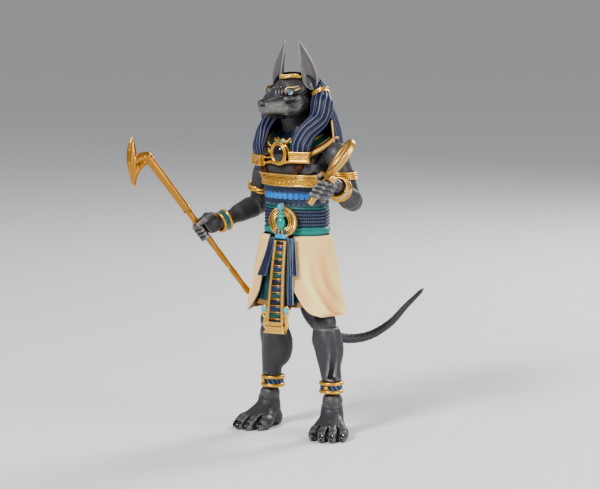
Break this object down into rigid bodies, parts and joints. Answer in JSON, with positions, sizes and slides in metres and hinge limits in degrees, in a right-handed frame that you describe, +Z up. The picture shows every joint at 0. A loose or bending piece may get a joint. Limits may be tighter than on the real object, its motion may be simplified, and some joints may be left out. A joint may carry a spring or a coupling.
{
  "type": "anubis standing statue",
  "caption": "Jackal-headed Egyptian god as a painted plastic collector's figure, in a kilt, scale corset and broad collar, holding a was sceptre and an ankh.",
  "frame": {"origin": "on the ground, at the middle of the box that the figure fills", "axes": "+X towards the figure's left hand, -Y the way it faces, +Z up"},
  "size_m": [0.1114, 0.1262, 0.1965],
  "materials": {
    "skin": "charcoal plastic, dry-brushed grey on the high spots, with a soft sheen",
    "wig": "dark indigo paint with lavender strands, satin",
    "gold": "warm gold paint with a brown wash in the recesses, turquoise and dark inlays",
    "collar": "teal, blue and dark red bands between gold lines, satin",
    "scales": "blue and navy scale rows with pale edges, satin",
    "sash": "teal folds and grey-blue ropes with pale dry-brushing, satin",
    "linen": "cream and peach paint, flat",
    "under_cloth": "dark teal paint with a gold hem",
    "ribbon": "navy and grey-blue paint on moulded pleats"
  },
  "bodies": {
    "root": {"head": "skin", "circlet": "gold", "wig": "wig", "torso": "skin", "collar": "collar", "pectoral": "gold", "chest_harness": "gold", "scale_corset": "scales", "sash": "sash", "scarab_buckle": "gold", "pelvis": "skin", "kilt": "linen", "under_skirt": "under_cloth", "apron_panel": "gold", "left_sash_end": "ribbon", "right_sash_end": "ribbon", "left_upper_arm": "skin", "left_forearm": "skin", "left_hand": "skin", "left_armlet": "gold", "left_bracelet": "gold", "left_thigh": "skin", "left_knee": "skin", "left_shin": "skin", "left_anklet": "gold", "left_ankle": "skin", "left_foot": "skin", "right_upper_arm": "skin", "right_forearm": "skin", "right_hand": "skin", "right_armlet": "gold", "right_bracelet": "gold", "right_thigh": "skin", "right_knee": "skin", "right_shin": "skin", "right_anklet": "gold", "right_ankle": "skin", "right_foot": "skin", "tail": "skin", "was_sceptre": "gold", "ankh": "gold"}
  },
  "joints": []
}
